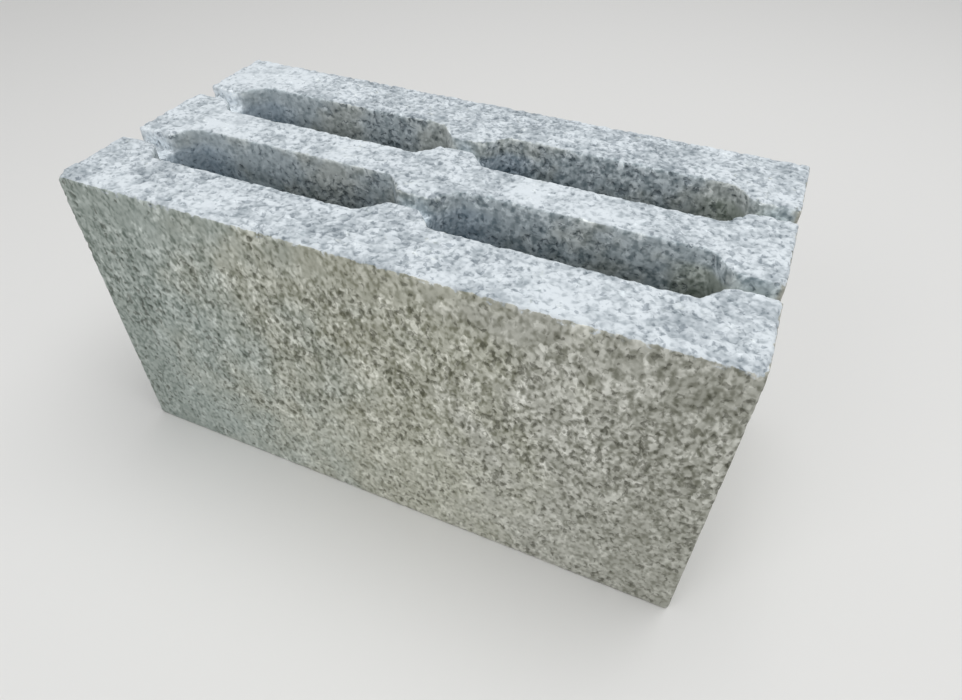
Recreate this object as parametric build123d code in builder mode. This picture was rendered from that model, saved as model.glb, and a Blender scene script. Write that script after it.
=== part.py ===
from build123d import *
from math import radians, tan
import os

os.makedirs("parts", exist_ok=True)

# Wall block: one cast piece of vibro-pressed concrete.
# The origin is the middle of the bottom face, +X runs along the block and +Z is up.

# Outside size
length = 390.0
width = 190.0
height = 200.0

# Walls around and between the slots, measured at the top face
face_shell = 40.0
middle_web = 30.0
end_web = 24.5
cross_web = 21.0
slots_along = 2
slots_across = 2

# Each slot narrows to its groove over this length, with rounded shoulders and noses
end_taper = 11.0
shoulder_radius = 4.0
nose_radius = 4.0

# Grooves left by the bars that carry the cores, one along each row of slots
groove_width = 12.0
groove_depth = 12.0
lip_radius = 7.0

# The cores lift out upwards, so slots and grooves are wider at the top
draft_angle = 0.6

# Rounded edges, at the top and corners and at the foot
edge_round = 1.2
foot_round = 0.8

# The slots fill what the walls leave
slot_length = (length - 2 * end_web - (slots_along - 1) * cross_web) / slots_along
slot_width = (width - 2 * face_shell - (slots_across - 1) * middle_web) / slots_across
column_pitch = slot_length + cross_web
row_pitch = slot_width + middle_web

# The groove's floor, and how far each drafted wall has come in there
floor_level = height - groove_depth
floor_draft = groove_depth * tan(radians(draft_angle))


def row_side():
    """One side of a row at the top face: a groove into each slot and out again, with corner radii."""
    first_slot = -(slots_along - 1) * column_pitch / 2
    points = [(-length, groove_width / 2)]
    radii = []
    for column in range(slots_along):
        middle = first_slot + column * column_pitch
        points.append((middle - slot_length / 2, groove_width / 2))
        points.append((middle - slot_length / 2 + end_taper, slot_width / 2))
        points.append((middle + slot_length / 2 - end_taper, slot_width / 2))
        points.append((middle + slot_length / 2, groove_width / 2))
        radii += [lip_radius, shoulder_radius, shoulder_radius, lip_radius]
    points.append((length, groove_width / 2))
    return points, radii


# A row's opening at the top face, which runs out past both ends of the block
with BuildSketch() as row_outline:
    with BuildLine():
        points, radii = row_side()
        FilletPolyline(*points, radius=radii)
        mirror(about=Plane.XZ)
        Line((-length, -groove_width / 2), (-length, groove_width / 2))
        Line((length, -groove_width / 2), (length, groove_width / 2))
    make_face()

# One slot at the level of the groove's floor: the same shape, come in by the draft
with BuildSketch() as slot_outline:
    with BuildLine():
        Polyline(
            (0, slot_width / 2),
            (slot_length / 2 - end_taper, slot_width / 2),
            (slot_length / 2, groove_width / 2),
            (slot_length / 2, 0),
        )
        mirror(about=Plane.YZ)
        mirror(about=Plane.XZ)
    make_face()
    offset(amount=-floor_draft, kind=Kind.INTERSECTION, mode=Mode.REPLACE)
    sides = slot_outline.vertices().group_by(Axis.Y)
    fillet(sides[0] + sides[-1], shoulder_radius - floor_draft)
    ends = slot_outline.vertices().group_by(Axis.X)
    fillet(ends[0] + ends[-1], nose_radius)

with BuildPart() as block:
    with BuildSketch():
        RectangleRounded(length, width, edge_round)
    extrude(amount=height)

    # Top of each row: the grooves and the upper part of the slots are one opening
    with BuildSketch(Plane.XY.offset(height)):
        with GridLocations(0, row_pitch, 1, slots_across):
            add(row_outline.sketch)
    extrude(amount=-groove_depth, taper=draft_angle, mode=Mode.SUBTRACT)

    # Below the grooves the slots go on alone, through to the bottom face
    with BuildSketch(Plane.XY.offset(floor_level)):
        with GridLocations(column_pitch, row_pitch, slots_along, slots_across):
            add(slot_outline.sketch)
    extrude(amount=-floor_level, taper=draft_angle, mode=Mode.SUBTRACT)

    # The upright edges where the grooves run out through the end faces
    end_edges = block.faces().filter_by(Axis.X).edges().filter_by(Axis.Y, reverse=True)
    fillet(end_edges.filter_by(lambda edge: edge.center().Z > floor_level), edge_round)

    # The rows part the top face into strips, and each strip is rounded all round
    for strip in range(slots_across + 1):
        top_strips = block.faces().filter_by(Axis.Z).group_by(Axis.Z)[-1]
        fillet(top_strips.sort_by(Axis.Y)[strip].edges(), edge_round)

    # The foot of the block and the slots' lower rims
    fillet(block.faces().filter_by(Axis.Z).group_by(Axis.Z)[0].edges(), foot_round)

block.part.label = "block"
export_step(block.part, "parts/block.step")
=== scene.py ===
# %% [markdown]
# # A pressed concrete wall block
# The block is one casting: damp concrete is shaken and pressed into a steel mould, and lifted out
# at once. The mould plates rub the sides flat, the tamper leaves the top open and granular, and
# the rising cores drag the slot walls. The CAD model gives the solid shape. This script gives it
# its surface in three layers: worn edges with a few knocks, then pits and lumps in the mesh, and
# at last finer grain and tone in the material.

# %% Load the frame
import math
import bpy
import bmesh
from mathutils import Euler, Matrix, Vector


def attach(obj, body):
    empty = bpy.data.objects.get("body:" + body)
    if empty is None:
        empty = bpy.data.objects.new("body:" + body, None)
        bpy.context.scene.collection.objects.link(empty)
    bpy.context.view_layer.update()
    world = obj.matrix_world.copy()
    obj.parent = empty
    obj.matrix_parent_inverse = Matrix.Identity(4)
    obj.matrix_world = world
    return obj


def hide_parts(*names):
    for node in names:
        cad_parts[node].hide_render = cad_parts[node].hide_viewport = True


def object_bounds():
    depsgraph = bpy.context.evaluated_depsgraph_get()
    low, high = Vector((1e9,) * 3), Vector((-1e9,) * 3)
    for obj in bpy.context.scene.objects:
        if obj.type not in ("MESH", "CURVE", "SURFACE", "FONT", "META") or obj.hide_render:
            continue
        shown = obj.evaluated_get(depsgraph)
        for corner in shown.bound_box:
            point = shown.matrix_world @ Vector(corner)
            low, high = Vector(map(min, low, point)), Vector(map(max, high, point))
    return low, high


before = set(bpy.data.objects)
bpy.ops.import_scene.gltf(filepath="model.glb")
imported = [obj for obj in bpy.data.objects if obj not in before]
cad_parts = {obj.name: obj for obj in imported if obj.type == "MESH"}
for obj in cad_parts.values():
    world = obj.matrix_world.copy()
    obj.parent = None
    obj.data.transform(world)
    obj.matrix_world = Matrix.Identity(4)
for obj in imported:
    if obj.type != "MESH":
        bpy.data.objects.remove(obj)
cad_low, cad_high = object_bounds()
block_size = cad_high - cad_low
MM = 0.001
print("CAD box in mm:", [round(side / MM, 2) for side in block_size])

# %% [markdown]
# ## Camera
# The photograph looks down on the long side from the right. A pinhole camera that was fitted to
# the block's six visible corners gives its place, turn and lens. The picture was cropped off
# centre, which the two small shift values repeat.

# %% Camera
IMAGE_WIDTH = 962
FOCAL_PIXELS = 691.4
SENSOR_WIDTH = 36.0
SHIFT_RIGHT = 0.0152
SHIFT_UP = 0.0211
CAMERA_PLACE = Vector((164.5, -324.1, 395.5)) * MM
CAMERA_ELEVATION = 44.50
CAMERA_AZIMUTH = 24.20
CAMERA_ROLL = 0.21
NEAREST_SEEN = 10 * MM

camera_data = bpy.data.cameras.new("camera")
camera_data.sensor_width = SENSOR_WIDTH
camera_data.lens = SENSOR_WIDTH * FOCAL_PIXELS / IMAGE_WIDTH
camera_data.shift_x = SHIFT_RIGHT
camera_data.shift_y = SHIFT_UP
camera_data.clip_start = NEAREST_SEEN
camera = bpy.data.objects.new("camera", camera_data)
bpy.context.scene.collection.objects.link(camera)
camera.location = CAMERA_PLACE
camera.rotation_mode = "QUATERNION"
aimed = Euler((math.radians(90 - CAMERA_ELEVATION), 0, math.radians(CAMERA_AZIMUTH)))
rolled = Euler((0, 0, math.radians(CAMERA_ROLL)))
camera.rotation_quaternion = aimed.to_quaternion() @ rolled.to_quaternion()
bpy.context.scene.camera = camera
bpy.context.scene.view_settings.view_transform = "Standard"
print("lens", round(camera_data.lens, 2), "mm")

# %% [markdown]
# ## Light
# Soft daylight falls on the block from above. One broad lamp overhead and a little behind repeats
# it: the top is the brightest face and the front is about two thirds as bright. A weaker lamp in
# front keeps the long side readable. Area lamps were chosen because their size sets how soft the
# shadow's edge is.

# %% Light
def lamp(name, place, size, power):
    """A square area lamp that points at the middle of the block."""
    data = bpy.data.lights.new(name, "AREA")
    data.size = size
    data.energy = power
    made = bpy.data.objects.new(name, data)
    bpy.context.scene.collection.objects.link(made)
    made.location = place
    aim = Vector((0, 0, block_size.z / 2)) - made.location
    made.rotation_mode = "QUATERNION"
    made.rotation_quaternion = aim.to_track_quat("-Z", "Y")
    print(name, "stands", round(aim.length, 2), "m from the middle of the block")


lamp("sky_lamp", place=(0.35, 0.15, 1.9), size=1.5, power=22.0)
lamp("front_lamp", place=(-0.7, -1.6, 1.2), size=1.0, power=7.0)

# %% [markdown]
# ## Helpers for node trees
# The world, the material and Geometry Nodes share most of their maths and texture nodes. The
# first helper adds a node, sets its sockets from plain values or links, and hands the node back.
# The others build on it and hand back one output, so that a line of nodes reads like a formula.
# A Mix node has sockets of the same name for each kind of value, so they are picked by number:
# 2 and 3 are its plain values, 6 and 7 its colours.

# %% Sums
def add(tree, kind, inputs=None, **settings):
    """Adds a node. Settings are its properties, inputs its sockets' values or links."""
    made = tree.nodes.new(kind)
    for name, value in settings.items():
        setattr(made, name, value)
    for name, value in (inputs or {}).items():
        if isinstance(value, bpy.types.NodeSocket):
            tree.links.new(value, made.inputs[name])
        else:
            made.inputs[name].default_value = value
    return made


def maths(tree, operation, first, second=0.0):
    """One sum: the two values may be numbers or links."""
    return add(tree, "ShaderNodeMath", {0: first, 1: second}, operation=operation).outputs[0]


def plus(tree, first, second):
    return maths(tree, "ADD", first, second)


def minus(tree, first, second):
    return maths(tree, "SUBTRACT", first, second)


def times(tree, first, second):
    return maths(tree, "MULTIPLY", first, second)


def with_layers(tree, total, layers):
    """The total, with each layer times its weight added to it."""
    for layer, weight in layers:
        total = plus(tree, total, times(tree, layer, weight))
    return total


def ramp(tree, value, low, high, out_low=0.0, out_high=1.0):
    """A smooth step from out_low to out_high while the value goes from low to high."""
    sockets = {"Value": value, "From Min": low, "From Max": high,
               "To Min": out_low, "To Max": out_high}
    made = add(tree, "ShaderNodeMapRange", sockets, interpolation_type="SMOOTHSTEP")
    return made.outputs["Result"]


def mix_values(tree, factor, first, second):
    sockets = {0: factor, 2: first, 3: second}
    return add(tree, "ShaderNodeMix", sockets, data_type="FLOAT").outputs[0]


print("helpers for sums are ready")

# %% Vectors and colours
def vector_maths(tree, operation, first, second):
    sockets = {0: first, 1: second}
    return add(tree, "ShaderNodeVectorMath", sockets, operation=operation).outputs[0]


def scaled(tree, vector, factor):
    sockets = {0: vector, "Scale": factor}
    return add(tree, "ShaderNodeVectorMath", sockets, operation="SCALE").outputs[0]


def distance(tree, place, spot):
    sockets = {0: place, 1: spot}
    return add(tree, "ShaderNodeVectorMath", sockets, operation="DISTANCE").outputs["Value"]


def split(tree, vector):
    """The three parts of a vector, as a list of outputs."""
    return add(tree, "ShaderNodeSeparateXYZ", {0: vector}).outputs


def mix_colors(tree, factor, first, second, blend="MIX"):
    sockets = {0: factor, 6: first, 7: second}
    return add(tree, "ShaderNodeMix", sockets, data_type="RGBA", blend_type=blend).outputs[2]


print("helpers for vectors and colours are ready")

# %% Textures and groups
def noise(tree, place, size, detail=2.0, roughness=0.5, output="Fac"):
    """Cloudy noise whose blobs are about as large as size, in millimetres."""
    sockets = {"Vector": place, "Scale": 1 / size, "Detail": detail, "Roughness": roughness}
    return add(tree, "ShaderNodeTexNoise", sockets).outputs[output]


def centred_noise(tree, place, size, detail, roughness):
    """Cloudy noise that swings around 0."""
    return minus(tree, noise(tree, place, size, detail, roughness), 0.5)


def cell_colors(tree, place, size):
    """Voronoi cells about as large as size, in millimetres, each of one random colour."""
    return add(tree, "ShaderNodeTexVoronoi", {"Vector": place, "Scale": 1 / size}).outputs["Color"]


def new_group(name, kind, inputs, outputs):
    """A node group with named sockets. Gives the tree, its inputs and its output node."""
    tree = bpy.data.node_groups.new(name, kind)
    for direction, sockets in (("INPUT", inputs), ("OUTPUT", outputs)):
        for socket_name, kind_of_value in sockets.items():
            socket_kind = "NodeSocket" + kind_of_value
            tree.interface.new_socket(socket_name, in_out=direction, socket_type=socket_kind)
    source = tree.nodes.new("NodeGroupInput")
    return tree, source.outputs, tree.nodes.new("NodeGroupOutput")


print("helpers for textures and groups are ready")

# %% [markdown]
# ## Background
# A weak even world fills the shadows. The world is shown paler to the camera than it lights, so
# the background is pale without more light on the block. Reflections count as the camera does,
# so that gloss mirrors the same pale tone that is seen behind the block.

# %% Background
FILL_LIGHT = 0.40
BACKGROUND = 0.87
WHITE = (1, 1, 1, 1)

world = bpy.data.worlds.new("studio")
bpy.context.scene.world = world
world.use_nodes = True
studio = world.node_tree
studio.nodes.clear()
rays = add(studio, "ShaderNodeLightPath").outputs
seen = rays["Is Camera Ray"]
for kind in ("Is Glossy Ray", "Is Transmission Ray"):
    seen = maths(studio, "MAXIMUM", seen, rays[kind])
sockets = {"Value": seen, "To Min": FILL_LIGHT, "To Max": BACKGROUND}
strength = add(studio, "ShaderNodeMapRange", sockets).outputs["Result"]
background = add(studio, "ShaderNodeBackground", {"Color": WHITE, "Strength": strength})
add(studio, "ShaderNodeOutputWorld", {"Surface": background.outputs[0]})
print("world:", len(studio.nodes), "nodes")

# %% [markdown]
# ## Floor
# A plain pale floor carries the block's shadow. One large square is enough, because its edges lie far
# outside the picture.

# %% Floor
FLOOR_HALF = 8.0
FLOOR_COLOR = (0.79, 0.79, 0.78, 1)
FLOOR_ROUGHNESS = 0.8

floor_mesh = bpy.data.meshes.new("floor")
shape = bmesh.new()
bmesh.ops.create_grid(shape, x_segments=1, y_segments=1, size=FLOOR_HALF)
shape.to_mesh(floor_mesh)
shape.free()
floor = bpy.data.objects.new("floor", floor_mesh)
bpy.context.scene.collection.objects.link(floor)
floor_paint = bpy.data.materials.new("floor_paint")
floor_paint.use_nodes = True
painted = floor_paint.node_tree.nodes["Principled BSDF"]
painted.inputs["Base Color"].default_value = FLOOR_COLOR
painted.inputs["Roughness"].default_value = FLOOR_ROUGHNESS
floor_mesh.materials.append(floor_paint)
print("floor:", 2 * FLOOR_HALF, "m square")

# %% [markdown]
# ## Where the grain is read
# The grain is one block of pattern in space, and each spot of the surface reads it at its own
# place. That place is counted in millimetres from the block's top. Mould plates are drawn off
# upwards, so on the outer sides the pattern is read a little slower in height, and the grain
# comes out a little longer that way. The shift only picks which part of the pattern is used.

# %% Place of the grain
GRAIN_SCALE = 1.04
DRAWN_UPWARDS = 0.79
GRAIN_SHIFT = (37.0, 59.0, 137.3)
TOP_MIDDLE_MM = (0, 0, 200)


def grain_place(tree, place_mm, inner):
    """The place that the grain reads, counted from the top and slower in height on the sides."""
    below_top = vector_maths(tree, "SUBTRACT", place_mm, TOP_MIDDLE_MM)
    upwards = mix_values(tree, inner, DRAWN_UPWARDS, 1.0)
    slower = add(tree, "ShaderNodeCombineXYZ", {"X": 1.0, "Y": 1.0, "Z": upwards}).outputs[0]
    read_at = vector_maths(tree, "MULTIPLY", below_top, scaled(tree, slower, GRAIN_SCALE))
    return vector_maths(tree, "ADD", read_at, GRAIN_SHIFT)


print("a grain of 1 mm is", round(1 / (GRAIN_SCALE * DRAWN_UPWARDS), 2), "mm high on the sides")

# %% [markdown]
# ## The grain of pressed concrete
# The surface is stones of a few millimetres in sand and cement. Where a steel plate pressed it,
# stones and paste end at one flat level, and pits stay open between them. So the recipe works out
# how full each spot is, cuts everything above the plate's level off, and leaves the pits below.
# The same recipe is built twice: once with broad forms for the mesh, and once with fine ones for
# the material. Both read the place that each spot had before its edges wore, so pits and shades
# meet. All sizes here are millimetres.

# %% Shades of the grain
SAND_SIZE = 2.8
STONE_SIZE = 4.2
LARGE_STONE_SIZE = 8.0
CLOUD_SIZE = 8.5
MEAN_SHADE = -0.12
SAND_WEIGHT = 0.85
PALE_WEIGHT = 0.50
DRAB_WEIGHT = 0.70
CLOUD_WEIGHT = 2.8


def grain_shades(tree, place, bent, fine):
    """Sand, pale stones, other stones and wider clouds: the sand, the shade and a mask of stones."""
    grit = noise(tree, place, SAND_SIZE, detail=1.0 if fine else 0.0, roughness=0.35)
    sand = ramp(tree, grit, 0.22, 0.62, -1.5, 0.75)
    splitter = "ShaderNodeSeparateColor" if fine else "FunctionNodeSeparateColor"
    stone = add(tree, splitter, {0: cell_colors(tree, bent, STONE_SIZE)}).outputs
    large = add(tree, splitter, {0: cell_colors(tree, bent, LARGE_STONE_SIZE)}).outputs
    pale = maths(tree, "MAXIMUM", ramp(tree, stone[0], 0.70, 0.85), ramp(tree, large[0], 0.84, 0.92))
    drab = minus(tree, stone[1], 0.5)
    cloud = centred_noise(tree, place, CLOUD_SIZE, detail=2.0, roughness=0.75)
    shade = with_layers(tree, MEAN_SHADE, ((sand, SAND_WEIGHT), (pale, PALE_WEIGHT),
                                           (drab, DRAB_WEIGHT), (cloud, CLOUD_WEIGHT)))
    return sand, shade, stone[2]


print("stones of", STONE_SIZE, "and", LARGE_STONE_SIZE, "mm in sand of", SAND_SIZE, "mm")

# %% Pits of the grain
GAP_SIZE = 3.6
LEVEL_WHEN_CLOSED = 0.36
LEVEL_WHEN_OPEN = 0.56
PASTE_FILLS = 0.15
STONES_FILL = 0.06
STEEPNESS = 12.0
DEEPEST_PIT = -1.8


def grain_pits(tree, bent, openness, closed, stones, fine):
    """Where gaps between the stones stay open: how deep they are, and a mask of them."""
    gaps = noise(tree, bent, GAP_SIZE, detail=2.0 if fine else 1.0)
    fullness = with_layers(tree, gaps, ((closed, PASTE_FILLS), (stones, STONES_FILL)))
    sockets = {"Value": openness, "To Min": LEVEL_WHEN_CLOSED, "To Max": LEVEL_WHEN_OPEN}
    level = add(tree, "ShaderNodeMapRange", sockets).outputs[0]
    over = minus(tree, fullness, level)
    below_plate = maths(tree, "MINIMUM", times(tree, over, STEEPNESS), 0.0)
    return maths(tree, "MAXIMUM", below_plate, DEEPEST_PIT), ramp(tree, over, -0.07, 0.04, 1.0, 0.0)


print("pits between stones about", GAP_SIZE, "mm apart")

# %% Grain recipe
BEND_SIZE = 3.0
BEND_REACH = 3.5
PASTE_SIZE = 11.0
LUMP_SIZE = 6.5
OPEN_HAS_LESS_PASTE = 0.30
SAND_HEIGHT = 0.13


def grain_recipe(name, kind, fine):
    """The concrete's relief and shades as a node group, for either kind of tree."""
    inputs = {"Place": "Vector", "Openness": "Float"}
    outputs = {"Height": "Float", "Pit": "Float", "Shade": "Float", "Closed": "Float", "Lump": "Float"}
    tree, given, result = new_group(name, kind, inputs, outputs)
    place = given["Place"]
    openness = given["Openness"]

    # Stones and pits aren't round, so their places are bent first
    detail = 1.0 if fine else 0.0
    bend = noise(tree, place, BEND_SIZE, detail, roughness=0.6, output="Color")
    bend = vector_maths(tree, "SUBTRACT", bend, (0.5, 0.5, 0.5))
    bent = vector_maths(tree, "ADD", place, scaled(tree, bend, BEND_REACH))

    # Smooth spots, where paste closed the surface
    paste = noise(tree, bent, PASTE_SIZE)
    paste = minus(tree, paste, times(tree, openness, OPEN_HAS_LESS_PASTE))
    closed = ramp(tree, paste, 0.52, 0.58)

    # Lumps and hollows of the loose top, from -1 in a hollow to 0 on a lump
    lump = ramp(tree, noise(tree, bent, LUMP_SIZE, detail=1.0), 0.34, 0.60, -1.0, 0.0)

    sand, shade, stones = grain_shades(tree, place, bent, fine)
    height, pit = grain_pits(tree, bent, openness, closed, stones, fine)
    if fine:
        height = plus(tree, height, times(tree, sand, SAND_HEIGHT))

    made = {"Height": height, "Pit": pit, "Shade": shade, "Closed": closed, "Lump": lump}
    for socket, value in made.items():
        tree.links.new(value, result.inputs[socket])
    return tree


mesh_grain = grain_recipe("grain_for_mesh", "GeometryNodeTree", fine=False)
shade_grain = grain_recipe("grain_for_material", "ShaderNodeTree", fine=True)
print("grain recipe:", len(shade_grain.nodes), "nodes")

# %% [markdown]
# ## Zones of the surface
# A block shows four kinds of surface. The top was tamped, the outer sides were rubbed by steel
# plates, the slot walls and grooves were dragged by the cores, and the underside is flat and
# plain. Which way a spot faces, how high it lies and how far it is from the outline tell them
# apart, so no faces have to be picked by hand.

# %% Zones
def top_and_inner(tree, place, normal):
    """Masks of the top, and of the slot walls with the grooves."""
    along, across, height = split(tree, place)
    facing_up = split(tree, normal)[2]
    top = times(tree, ramp(tree, facing_up, 0.15, 0.85), ramp(tree, height, 189 * MM, 194 * MM))
    under = ramp(tree, facing_up, -0.45, -0.85)
    past_end = minus(tree, maths(tree, "ABSOLUTE", along), block_size.x / 2)
    past_side = minus(tree, maths(tree, "ABSOLUTE", across), block_size.y / 2)
    outside = maths(tree, "MAXIMUM", past_end, past_side)
    inner = ramp(tree, outside, -1.0 * MM, -3.0 * MM)
    return top, times(tree, inner, minus(tree, 1.0, under))


print("zones: a spot over 3 mm inside the outline is inner")

# %% [markdown]
# ## Open and closed spots
# Concrete never packs evenly, so some patches are open and full of pits and others are closed and
# smooth. Broad noise spreads them, and the band under the top edge and the foot are more closed.
# A list adds the spots that the photograph shows plainly: smooth ones under the front's top edge
# and on the top, rough ones at the back, and single holes near the slots' rims.

# %% Spots
# Place and reach in millimetres, and the change: above 0 is more open, below 0 more closed
SPOTS = [
    # The front, under its top edge and lower down
    ((-35, -95, 187), 15, -1.0), ((8, -95, 187), 9, -1.0), ((45, -95, 190), 15, -1.0),
    ((88, -95, 184), 17, -1.0), ((140, -95, 181), 9, -0.5), ((-150, -95, 186), 30, -0.3),
    ((-90, -95, 188), 22, -0.35), ((-5, -95, 170), 14, 0.35), ((32, -95, 164), 20, 0.35),
    ((88, -95, 163), 24, 0.28), ((140, -95, 145), 32, 0.22), ((-50, -95, 118), 12, 0.25),
    ((-180, -95, 132), 14, 0.15),
    # The top: smooth pale spots, and the rougher strip at the back
    ((-152, 2, 200), 34, -0.6), ((-165, 80, 200), 42, -0.6), ((58, 3, 200), 20, -0.5),
    ((100, -4, 200), 18, -0.4), ((105, -86, 200), 24, -0.3), ((-60, -8, 200), 16, -0.4),
    ((-60, 76, 200), 45, 0.20), ((20, 78, 200), 50, 0.25), ((95, 78, 200), 45, 0.20),
    ((-150, -72, 200), 22, 0.10), ((0, -70, 200), 60, 0.10),
    # Single holes in the top
    ((8, -7, 200), 4, 0.9), ((-16, -80, 200), 3, 0.8), ((23, -73, 200), 3, 0.6),
    ((170, 63, 200), 4, 0.7),
    # The slot walls: open low down in the left slots
    ((-50, -15, 172), 26, 0.35), ((-85, -15, 170), 20, 0.25), ((-60, 55, 174), 26, 0.30),
    # Single holes near the slots' rims
    ((13, -26, 197), 5, 1.0), ((-33, -15, 191), 5, 1.0), ((-13, -28, 194), 4, 0.8),
    ((11, 40, 187), 5, 1.0), ((45, 55, 197), 4, 0.8), ((48, 55, 188), 4, 0.8),
]
print("spots:", len(SPOTS))

# %% Openness
PATCH_SIZE = 26.0
FRAY_SIZE = 7.0
FRAY_REACH = 1.6
PATCHES_ON_TOP = 0.4
OPENNESS_OF_TOP = 0.26
FULL_CHANGE_WITHIN = 0.5


def openness_of(tree, place_mm, height, top, inner):
    """How open the surface is: in patches, less under the top edge and at the foot, and in spots."""
    patches = ramp(tree, noise(tree, place_mm, PATCH_SIZE), 0.33, 0.67, 0.20, 0.68)
    band = ramp(tree, height, 150 * MM, 180 * MM, 0.0, -0.22)
    foot = ramp(tree, height, 70 * MM, 20 * MM, 0.0, -0.12)
    side = plus(tree, patches, plus(tree, band, foot))
    wall = plus(tree, patches, ramp(tree, height, 165 * MM, 190 * MM, 0.0, -0.20))
    tamped = plus(tree, times(tree, patches, PATCHES_ON_TOP), OPENNESS_OF_TOP)
    openness = mix_values(tree, top, mix_values(tree, inner, side, wall), tamped)
    frayed = centred_noise(tree, place_mm, FRAY_SIZE, detail=2.0, roughness=0.6)
    for spot, reach, change in SPOTS:
        ragged = times(tree, frayed, FRAY_REACH * reach)
        away = plus(tree, distance(tree, place_mm, spot), ragged)
        within = FULL_CHANGE_WITHIN * reach
        openness = plus(tree, openness, ramp(tree, away, reach, within, 0.0, change))
    return openness


print("openness: patches of about", PATCH_SIZE, "mm")

# %% [markdown]
# ## Worn edges
# Damp concrete crumbles a little along every edge when the mould lets go of it. A bevel would
# give edges that are too even. Here each spot moves towards a smoothed copy of the mesh, which
# only changes it near an edge, and noise says how far.

# %% Worn edges
SMOOTHING_ROUNDS = 8
CRUMBLE_SIZE = 5.5


def worn_edges(tree, place, place_mm):
    """The place that each spot has once the edges are worn, most of all the upper ones."""
    smooth = add(tree, "GeometryNodeBlurAttribute",
                 {"Value": place, "Iterations": SMOOTHING_ROUNDS, "Weight": 1.0},
                 data_type="FLOAT_VECTOR")
    smoothed = [socket for socket in smooth.outputs if socket.enabled][0]
    toward = vector_maths(tree, "SUBTRACT", smoothed, place)
    crumble = noise(tree, place_mm, CRUMBLE_SIZE, detail=3.0, roughness=0.7)
    crumble = ramp(tree, crumble, 0.40, 0.70, 0.0, 1.5)
    upper = ramp(tree, split(tree, place)[2], 120 * MM, 185 * MM, 0.4, 1.0)
    return vector_maths(tree, "ADD", place, scaled(tree, toward, times(tree, crumble, upper)))


print("edges crumble in patches of about", CRUMBLE_SIZE, "mm")

# %% [markdown]
# ## Knocks
# A casting gets knocked when it is handled. Each knock presses a small spot of an edge in, most at
# its middle, and noise in the distance from that middle keeps it from being round.

# %% Knocks
KNOCK_ROUGHNESS = 4 * MM
KNOCK_GRAIN = 4.0
FULL_FORCE_WITHIN = 0.2

# Place and reach in metres, and the way that it presses, in millimetres
KNOCKS = [
    ((0.120, -0.095, 0.200), 0.009, (0.0, 1.0, -1.2)),
    ((-0.060, -0.095, 0.200), 0.011, (0.0, 1.2, -1.2)),
    ((-0.195, -0.095, 0.200), 0.009, (1.2, 1.0, -0.8)),
    ((0.195, -0.095, 0.200), 0.009, (-0.8, 0.8, -0.8)),
    ((0.195, 0.031, 0.200), 0.006, (-1.2, -1.0, -0.6)),
]


def knocked(tree, worn, place, place_mm):
    """The worn place, pressed in at the knocks."""
    for spot, reach, push in KNOCKS:
        uneven = times(tree, noise(tree, place_mm, KNOCK_GRAIN), KNOCK_ROUGHNESS)
        away = plus(tree, distance(tree, place, spot), uneven)
        force = ramp(tree, away, reach, FULL_FORCE_WITHIN * reach)
        worn = vector_maths(tree, "ADD", worn, scaled(tree, Vector(push) * MM, force))
    return worn


print("knocks:", len(KNOCKS))

# %% [markdown]
# ## Depth of the relief
# Pits and lumps move the mesh along its normals. Only the tamped top has lumps. The pits are a
# little deeper there than on the rubbed walls, and shallow at the slots' round ends, which are
# seen so flatly that deep pits would turn into streaks.

# %% Depth of the relief
PIT_DEPTH_ON_WALLS = 0.4
PIT_DEPTH_ON_TOP = 0.45
PIT_DEPTH_ON_NOSES = 0.25
LUMP_HEIGHT = 0.75


def relief_depth(tree, grain, normal, top, inner):
    """How far a spot moves along its normal, in metres."""
    lumps = times(tree, grain.outputs["Lump"], times(tree, top, LUMP_HEIGHT))
    by_zone = ramp(tree, top, 0.0, 1.0, PIT_DEPTH_ON_WALLS, PIT_DEPTH_ON_TOP)
    pits = times(tree, grain.outputs["Height"], by_zone)
    endways = maths(tree, "ABSOLUTE", split(tree, normal)[0])
    nose = times(tree, ramp(tree, endways, 0.5, 0.9), inner)
    pits = times(tree, pits, ramp(tree, nose, 0.0, 1.0, 1.0, PIT_DEPTH_ON_NOSES))
    return times(tree, plus(tree, pits, lumps), MM)


deepest_mm = -DEEPEST_PIT * PIT_DEPTH_ON_WALLS
print("pits in the walls are up to", round(deepest_mm, 2), "mm deep")

# %% [markdown]
# ## The tree for the mesh
# One Geometry Nodes tree puts the steps together: zones, openness, worn edges, knocks and relief.
# Every spot is held inside the CAD box. The tree also writes the zones, the openness and each
# spot's first place on the mesh, because the material reads them there.

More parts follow.
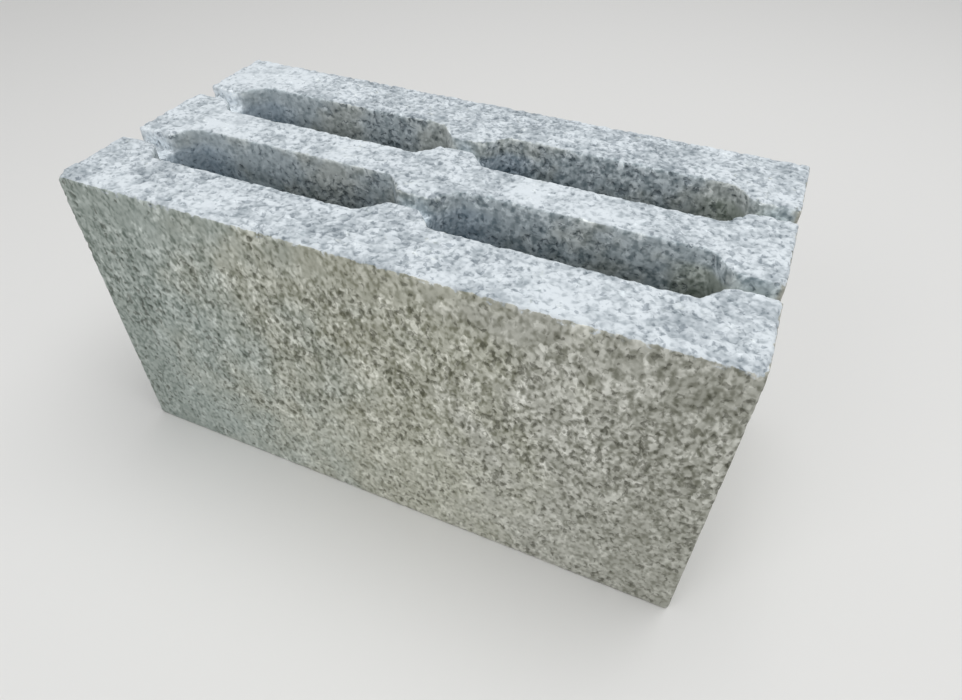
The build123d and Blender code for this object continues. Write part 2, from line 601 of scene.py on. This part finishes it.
# %% The tree for the mesh
def wear_and_relief():
    """Geometry Nodes that wear the edges, press the pits in and note the zones."""
    tree, given, result = new_group("wear_and_relief", "GeometryNodeTree",
                                    {"Mesh": "Geometry"}, {"Mesh": "Geometry"})
    place = add(tree, "GeometryNodeInputPosition").outputs[0]
    normal = add(tree, "GeometryNodeInputNormal").outputs[0]
    place_mm = scaled(tree, place, 1 / MM)
    top, inner = top_and_inner(tree, place, normal)
    openness = openness_of(tree, place_mm, split(tree, place)[2], top, inner)
    grain = add(tree, "GeometryNodeGroup", node_tree=mesh_grain)
    tree.links.new(grain_place(tree, place_mm, inner), grain.inputs["Place"])
    tree.links.new(openness, grain.inputs["Openness"])

    moved = knocked(tree, worn_edges(tree, place, place_mm), place, place_mm)
    depth = relief_depth(tree, grain, normal, top, inner)
    moved = vector_maths(tree, "ADD", moved, scaled(tree, normal, depth))
    moved = vector_maths(tree, "MAXIMUM", moved, cad_low)
    moved = vector_maths(tree, "MINIMUM", moved, cad_high)

    mesh = given["Mesh"]
    notes = (("in_the_mould", "FLOAT_VECTOR", place), ("top_face", "FLOAT", top),
             ("slot_wall", "FLOAT", inner), ("openness", "FLOAT", openness))
    for name, kind, value in notes:
        sockets = {"Geometry": mesh, "Name": name, "Value": value}
        mesh = add(tree, "GeometryNodeStoreNamedAttribute", sockets, data_type=kind).outputs[0]
    mesh = add(tree, "GeometryNodeSetPosition", {"Geometry": mesh, "Position": moved}).outputs[0]
    tree.links.new(mesh, result.inputs[0])
    return tree


weathering = wear_and_relief()
print("wear and relief:", len(weathering.nodes), "nodes")

# %% [markdown]
# ## The block's mesh
# The CAD mesh has long thin triangles, which can't carry relief. So a copy of it is merged, and a
# voxel remesh lays an even net of small faces over the same shape. Geometry Nodes then wear the
# edges and press the pits in, and a Decimate modifier spends the triangles where the relief is.
# Nothing moves outwards past the CAD box.

# %% An even net with relief
EVEN_NET = 1.0 * MM
SAME_PLACE = 1e-6

block = bpy.data.objects.new("concrete_block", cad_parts["block"].data.copy())
bpy.context.scene.collection.objects.link(block)
shape = bmesh.new()
shape.from_mesh(block.data)
bmesh.ops.remove_doubles(shape, verts=shape.verts, dist=SAME_PLACE)
shape.to_mesh(block.data)
shape.free()
block.data.materials.clear()
net = block.modifiers.new("even_net", "REMESH")
net.mode = "VOXEL"
net.voxel_size = EVEN_NET
relief = block.modifiers.new("relief", "NODES")
relief.node_group = weathering


def apply_modifiers(made):
    """Gives the object the mesh that its modifiers make, and takes them off."""
    ready = made.evaluated_get(bpy.context.evaluated_depsgraph_get())
    made.data = bpy.data.meshes.new_from_object(ready)
    made.modifiers.clear()


apply_modifiers(block)
triangles = sum(len(face.vertices) - 2 for face in block.data.polygons)
print("dense net:", triangles, "triangles")

# %% Fewer triangles
MOST_TRIANGLES = 190000

thin = block.modifiers.new("fewer_triangles", "DECIMATE")
thin.ratio = min(1.0, MOST_TRIANGLES / triangles)
apply_modifiers(block)
for corner in block.data.vertices:
    limits = zip(corner.co, cad_low, cad_high)
    corner.co = [min(max(at, low), high) for at, low, high in limits]
block.data.shade_smooth()
print("block:", len(block.data.polygons), "triangles", [a.name for a in block.data.attributes])

# %% [markdown]
# ## The concrete material
# Dry concrete has no gloss, so its look is all in small differences of tone. The ground colour goes by
# zone: the sides turn from a cool grey at the left to a warm one at the right, the top is pale and
# bluish, and the slot walls are darker and cooler. The top's pale blue and the sides' warmth are
# partly the concrete's own, because the tamped top is open and dry, and partly painted light: cool
# skylight on the top and warm bounce light on the sides. The zones come from the attributes that the
# mesh carries. Noise frays their borders, and a little of the top's colour spills over the block's
# upper edges, so that no straight line shows.

# %% Zones of the material
BORDER_FRAY_SIZE = 4.5
BORDER_FRAY = 2.2
MOST_SPILL = 0.40

concrete = bpy.data.materials.new("cast_concrete")
concrete.use_nodes = True
paint = concrete.node_tree
bsdf = paint.nodes["Principled BSDF"]


def mesh_note(name, output="Fac"):
    """A value that the mesh carries for each spot."""
    return add(paint, "ShaderNodeAttribute", attribute_name=name).outputs[output]


place = mesh_note("in_the_mould", "Vector")
slot_wall = mesh_note("slot_wall")
openness = mesh_note("openness")
place_mm = scaled(paint, place, 1 / MM)
along, across, height = split(paint, place)

ragged = centred_noise(paint, place_mm, BORDER_FRAY_SIZE, detail=3.0, roughness=0.6)
ragged = times(paint, ragged, BORDER_FRAY)
high_up = ramp(paint, height, 190 * MM, 196 * MM)
ragged = mix_values(paint, slot_wall, ragged, times(paint, ragged, high_up))
spill = mix_values(paint, slot_wall, MOST_SPILL, 0.0)
spilled = ramp(paint, height, 192.5 * MM, 199 * MM, 0.0, spill)
top_face = plus(paint, mesh_note("top_face"), plus(paint, ragged, spilled))
top_face = ramp(paint, top_face, 0.42, 0.80)
print("material zones:", len(paint.nodes), "nodes")

# %% [markdown]
# ## How strongly the grain shows
# The photograph shows the grain plainly on the front, less on the top, and least at the foot and
# in closed spots. The slots' right ends are seen so flatly that a strong grain would turn into
# streaks there. One node group holds the grain for every zone, and here its shade is only made
# stronger or weaker. A shade is counted in stops of light: 1 is twice as bright, -1 half as
# bright.

# %% Strength of the grain
SLOT_PITCH = 181 * MM
GRAIN_ON_TOP = 0.33
GRAIN_AT_FOOT = 0.64
GRAIN_IN_CLOSED_SPOTS = 0.5
GRAIN_ON_NOSES = 0.4

grain = add(paint, "ShaderNodeGroup", node_tree=shade_grain)
paint.links.new(grain_place(paint, place_mm, slot_wall), grain.inputs["Place"])
paint.links.new(openness, grain.inputs["Openness"])

# The place along a slot, counted from the slot's middle
in_slot = maths(paint, "MODULO", plus(paint, along, 2 * SLOT_PITCH), SLOT_PITCH)
in_slot = minus(paint, in_slot, SLOT_PITCH / 2)
below_groove = ramp(paint, height, 192 * MM, 186 * MM)
nose = times(paint, ramp(paint, in_slot, 66 * MM, 74 * MM), below_groove)

on_walls = ramp(paint, along, -90 * MM, 30 * MM, 0.36, 0.62)
on_walls = times(paint, on_walls, ramp(paint, nose, 0.0, 1.0, 1.0, GRAIN_ON_NOSES))
on_sides = ramp(paint, along, -160 * MM, -20 * MM, 0.58, 0.68)
on_sides = times(paint, on_sides, ramp(paint, height, 170 * MM, 185 * MM, 1.0, 0.86))
strength = mix_values(paint, slot_wall, on_sides, on_walls)
strength = mix_values(paint, top_face, strength, GRAIN_ON_TOP)
at_foot = ramp(paint, height, 30 * MM, 140 * MM, GRAIN_AT_FOOT, 1.0)
if_closed = ramp(paint, grain.outputs["Closed"], 0.0, 1.0, 1.0, GRAIN_IN_CLOSED_SPOTS)
strength = times(paint, times(paint, strength, at_foot), if_closed)
shade = times(paint, grain.outputs["Shade"], strength)
print("grain on the top is shown at", GRAIN_ON_TOP, "of its strength")

# %% [markdown]
# ## The loose top
# The tamper doesn't rub the top, so its stones lie loose. The hollows between the lumps are painted
# darker, partly as cement dust on the high points and partly as painted shade, because the mesh's
# lumps give little shade under soft light. Open patches are darker, and dried paste makes cloudy pale
# areas. The pale areas have a soft upper limit, because a hard one would cut flat white spots out of
# the grain.

# %% The loose top
DUST_SIZE = 22.0
PALER_TOP = 0.19
LUMP_DUST_AND_PAINTED_SHADE = 0.36
DUST_SHADES = 1.8
OPEN_IS_DARKER = -0.40
BRIGHTEST_SIDE = 2.0
BRIGHTEST_TOP = 0.25
SOFT_LIMIT = 0.3

dust = centred_noise(paint, place_mm, DUST_SIZE, detail=2.0, roughness=0.6)
# Darker hollows: cement dust on the lumps and painted shade in the hollows
loose = with_layers(paint, PALER_TOP, ((grain.outputs["Lump"], LUMP_DUST_AND_PAINTED_SHADE), (dust, DUST_SHADES),
                                       (openness, OPEN_IS_DARKER)))
shade = plus(paint, shade, times(paint, loose, top_face))
brightest = mix_values(paint, top_face, BRIGHTEST_SIDE, BRIGHTEST_TOP)
sockets = {0: shade, 1: brightest, 2: SOFT_LIMIT}
shade = add(paint, "ShaderNodeMath", sockets, operation="SMOOTH_MIN").outputs[0]
print("clouds of dust about", DUST_SIZE, "mm wide")

# %% [markdown]
# ## Darker and paler parts
# The slot walls get darker downwards and towards each slot's right end, and a little paler just under
# the rim: this is painted shade and light, added to the shade that the lamps alone give in the slots.
# The slot walls are also a touch paler in the left slots. The outer sides are a little darker at both
# ends of the block, and the middle of the foot is paler.

# %% Darker and paler parts
PAINTED_END_SHADOW = -0.34
LESS_PALE_AT_ENDS = 0.2

# Painted shade: slot walls darker downwards and at each slot's right end, paler under the rim
slot_tone_and_painted_shade = ramp(paint, height, 192 * MM, 168 * MM, 0.12, -0.45)
painted_end_shadow = times(paint, ramp(paint, in_slot, 50 * MM, 75 * MM), below_groove)
slot_tone_and_painted_shade = plus(paint, slot_tone_and_painted_shade, times(paint, painted_end_shadow, PAINTED_END_SHADOW))
slot_tone_and_painted_shade = plus(paint, slot_tone_and_painted_shade, ramp(paint, along, -30 * MM, -60 * MM, 0.0, 0.08))
off_middle = maths(paint, "ABSOLUTE", along)
ends = ramp(paint, off_middle, 130 * MM, 175 * MM, 0.0, -0.20)
foot = ramp(paint, height, 110 * MM, 50 * MM, 0.0, 0.16)
foot = times(paint, foot, ramp(paint, off_middle, 60 * MM, 140 * MM, 1.0, LESS_PALE_AT_ENDS))
by_zone = mix_values(paint, slot_wall, plus(paint, ends, foot), slot_tone_and_painted_shade)
shade = plus(paint, shade, mix_values(paint, top_face, by_zone, 0.0))
print("material with its shades:", len(paint.nodes), "nodes")

# %% [markdown]
# ## Ground colours
# Under the grain each zone has one quiet colour, which drifts over a hand's width. It is mixed from a
# few colours that were matched to the photograph by mean tone. Broad noise moves the borders between
# them, so the drift doesn't look like a printed gradient.

# %% Ground colours
# The sides' warm tone and the top's pale blue are partly painted light: warm bounce light and cool
# skylight
SIDE_COOL = (0.366, 0.412, 0.383, 1)
SIDE_WARM = (0.430, 0.435, 0.362, 1)
SIDE_PLAIN = (0.438, 0.442, 0.390, 1)
TOP = (0.592, 0.646, 0.686, 1)
SLOT_COOL = (0.434, 0.500, 0.535, 1)
SLOT_WARM = (0.462, 0.500, 0.488, 1)
SLOT_PAINTED_SKYLIGHT = (0.425, 0.505, 0.570, 1)
SLOT_OLIVE = (0.460, 0.505, 0.460, 1)
DRIFT_SIZE = 45.0
DRIFT_REACH = 250 * MM

broad = noise(paint, place_mm, DRIFT_SIZE, detail=3.0, roughness=0.6)
drifting = plus(paint, along, times(paint, minus(paint, broad, 0.5), DRIFT_REACH))
side = mix_colors(paint, ramp(paint, drifting, -170 * MM, 20 * MM), SIDE_COOL, SIDE_WARM)
side = mix_colors(paint, ramp(paint, drifting, 40 * MM, 120 * MM), side, SIDE_PLAIN)
slot = mix_colors(paint, ramp(paint, broad, 0.42, 0.62), SLOT_COOL, SLOT_WARM)
# The slots' left parts, whose end walls face to the right, are painted bluer: painted cool skylight
painted_skylight_at_left = times(paint, ramp(paint, in_slot, -35 * MM, -65 * MM), below_groove)
slot = mix_colors(paint, painted_skylight_at_left, slot, SLOT_PAINTED_SKYLIGHT)
right_end = times(paint, ramp(paint, along, 135 * MM, 155 * MM), below_groove)
slot = mix_colors(paint, right_end, slot, SLOT_OLIVE)
ground = mix_colors(paint, slot_wall, side, slot)
ground = mix_colors(paint, top_face, ground, TOP)
print("ground colours drift over about", DRIFT_SIZE, "mm")

# %% [markdown]
# ## Pale groove ends
# At their left ends the grooves are as pale as the top. A mask of the grooves that fades out along the
# block lays the top's colour there and makes it paler still: painted light that lifts the groove ends
# out of the shade that their depth gives them. The solid keeps its grooves as deep as everywhere,
# because only the colour is sure.

# %% Pale groove ends
GROOVE_OFF_MIDDLE = 35 * MM
GROOVE_PAINTED_LIGHT = 0.15

from_groove = minus(paint, maths(paint, "ABSOLUTE", across), GROOVE_OFF_MIDDLE)
in_groove = ramp(paint, maths(paint, "ABSOLUTE", from_groove), 8.5 * MM, 6.5 * MM)
in_groove = times(paint, in_groove, ramp(paint, height, 185 * MM, 189 * MM))
painted_groove_light = times(paint, in_groove, ramp(paint, along, -160 * MM, -178 * MM))
ground = mix_colors(paint, painted_groove_light, ground, TOP)
# Painted light on the groove ends
shade = plus(paint, shade, times(paint, painted_groove_light, GROOVE_PAINTED_LIGHT))
print("fines lie in the grooves", GROOVE_OFF_MIDDLE / MM, "mm off the middle")

# %% [markdown]
# ## Tone
# The shade turns into a factor on the ground colour. Pale grains are greyer than the ground and
# dark ones more tinted, so before that the ground is mixed with its own grey, by a factor that
# goes past 1 in the dark. Multiplying alone would tint every grain alike and look painted.

# %% Tone
TINT_BY_SHADE = -0.7

grey = add(paint, "ShaderNodeRGBToBW", {0: ground}).outputs[0]
tint = maths(paint, "POWER", 2.0, times(paint, shade, TINT_BY_SHADE))
sockets = {0: tint, 6: grey, 7: ground}
tinted = add(paint, "ShaderNodeMix", sockets, data_type="RGBA", clamp_factor=False).outputs[2]
tone = maths(paint, "POWER", 2.0, shade)
tone = add(paint, "ShaderNodeCombineColor", {0: tone, 1: tone, 2: tone}).outputs[0]
color = mix_colors(paint, 1.0, tinted, tone, "MULTIPLY")
print("material with its tone:", len(paint.nodes), "nodes")

# %% [markdown]
# ## Pits and finish
# Light hardly gets into the real pits, which are narrower than the mesh can carry, so a dark
# stain stands in for their shadows. The finish is rough, with little gloss. Fine bump adds the
# sand. It is weaker on the top, which has its lumps in the mesh, and weakest at the slots' right
# ends.

# %% Pits and finish
PIT_SHADOW_OUTSIDE = (0.45, 0.45, 0.42, 1)
PIT_SHADOW_INSIDE = (0.42, 0.45, 0.48, 1)
PITS_ON_SIDES = 0.78
PITS_ON_TOP = 0.66
CONCRETE_ROUGHNESS = 0.92
CONCRETE_GLOSS = 0.3
BUMP_ON_SIDES = 0.45
BUMP_ON_NOSES = 0.1
BUMP_ON_TOP = 0.25

# Painted shadow: the pits are tinted dark, standing in for their shadows
inside = maths(paint, "MAXIMUM", top_face, slot_wall)
pit_shadow = mix_colors(paint, inside, PIT_SHADOW_OUTSIDE, PIT_SHADOW_INSIDE)
pit_shadowed = mix_colors(paint, 1.0, color, pit_shadow, "MULTIPLY")
pit_strength = mix_values(paint, top_face, PITS_ON_SIDES, PITS_ON_TOP)
pit_strength = times(paint, grain.outputs["Pit"], pit_strength)
color = mix_colors(paint, pit_strength, color, pit_shadowed)
paint.links.new(color, bsdf.inputs["Base Color"])
bsdf.inputs["Roughness"].default_value = CONCRETE_ROUGHNESS
bsdf.inputs["Specular IOR Level"].default_value = CONCRETE_GLOSS

bump_strength = ramp(paint, nose, 0.0, 1.0, BUMP_ON_SIDES, BUMP_ON_NOSES)
bump_strength = mix_values(paint, top_face, bump_strength, BUMP_ON_TOP)
sockets = {"Height": grain.outputs["Height"], "Distance": MM, "Strength": bump_strength}
bump = add(paint, "ShaderNodeBump", sockets)
paint.links.new(bump.outputs[0], bsdf.inputs["Normal"])
block.data.materials.clear()
block.data.materials.append(concrete)
print("cast concrete:", len(paint.nodes), "nodes")

# %% [markdown]
# The block is one rigid piece. It rides on the part's only body, stands for the CAD node, and has
# the concrete as its slot.

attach(block, "root")
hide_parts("block")
print("pieces:", block.name)
